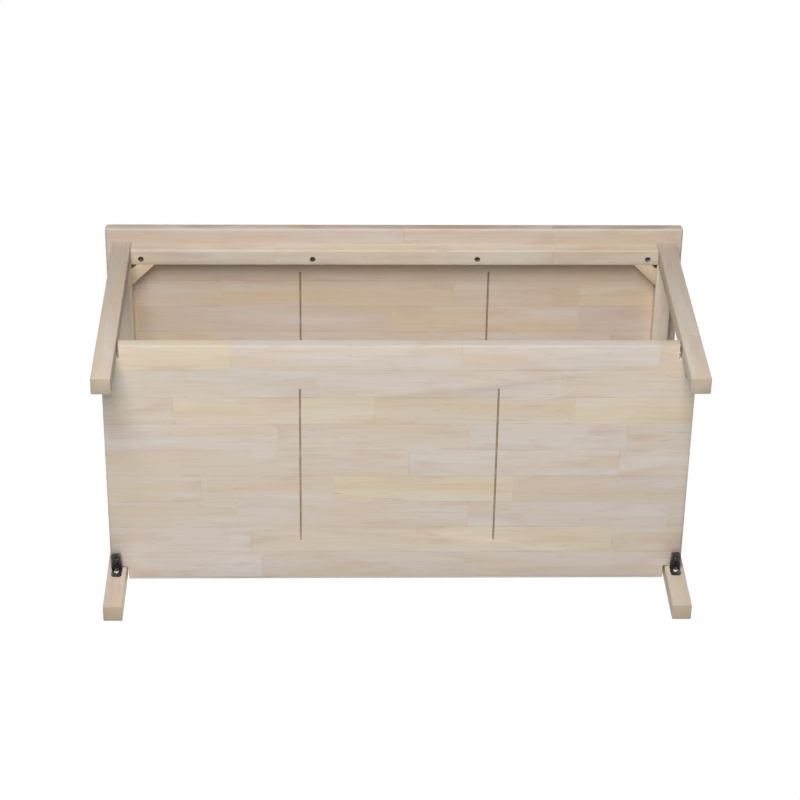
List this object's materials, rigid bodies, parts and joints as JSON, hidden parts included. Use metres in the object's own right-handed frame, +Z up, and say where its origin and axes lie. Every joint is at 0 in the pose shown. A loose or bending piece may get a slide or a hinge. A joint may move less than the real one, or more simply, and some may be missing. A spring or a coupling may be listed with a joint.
{
  "type": "storage bench",
  "caption": "Low wooden bench with a thick seat board on square legs and an open notched storage shelf carried by small steel corner braces.",
  "frame": {"origin": "on the floor, under the middle of the seat board", "axes": "+X along the bench to the viewer's right, +Y from the front to the rear, +Z up"},
  "size_m": [0.914, 0.457, 0.457],
  "materials": {
    "seat_wood": "sanded bare rubberwood, edge-glued finger-jointed staves",
    "shelf_wood": "sanded bare rubberwood, edge-glued finger-jointed staves",
    "leg_wood": "sanded bare rubberwood",
    "rail_wood": "planed bare rubberwood",
    "dowel_wood": "turned hardwood dowel",
    "black_steel": "black enamelled pressed steel",
    "screw_steel": "dark nickel-plated steel"
  },
  "bodies": {
    "root": {"brace_screw_leg_front_left": "screw_steel", "brace_screw_leg_front_right": "screw_steel", "brace_screw_leg_rear_left": "screw_steel", "brace_screw_leg_rear_right": "screw_steel", "brace_screw_shelf_front_left": "screw_steel", "brace_screw_shelf_front_right": "screw_steel", "brace_screw_shelf_rear_left": "screw_steel", "brace_screw_shelf_rear_right": "screw_steel", "corner_block_front_left": "rail_wood", "corner_block_front_right": "rail_wood", "corner_block_rear_left": "rail_wood", "corner_block_rear_right": "rail_wood", "dowel_rail_front_a": "dowel_wood", "dowel_rail_front_b": "dowel_wood", "dowel_rail_left_a": "dowel_wood", "dowel_rail_left_b": "dowel_wood", "dowel_rail_rear_a": "dowel_wood", "dowel_rail_rear_b": "dowel_wood", "dowel_rail_right_a": "dowel_wood", "dowel_rail_right_b": "dowel_wood", "leg_front_left": "leg_wood", "leg_front_right": "leg_wood", "leg_rear_left": "leg_wood", "leg_rear_right": "leg_wood", "rail_front": "rail_wood", "rail_left": "rail_wood", "rail_rear": "rail_wood", "rail_right": "rail_wood", "seat_board": "seat_wood", "seat_screw_front_1": "screw_steel", "seat_screw_front_2": "screw_steel", "seat_screw_front_3": "screw_steel", "seat_screw_front_4": "screw_steel", "seat_screw_left_1": "screw_steel", "seat_screw_rear_1": "screw_steel", "seat_screw_rear_2": "screw_steel", "seat_screw_rear_3": "screw_steel", "seat_screw_rear_4": "screw_steel", "seat_screw_right_1": "screw_steel", "shelf_board": "shelf_wood", "shelf_brace_front_left": "black_steel", "shelf_brace_front_right": "black_steel", "shelf_brace_rear_left": "black_steel", "shelf_brace_rear_right": "black_steel"}
  },
  "joints": []
}
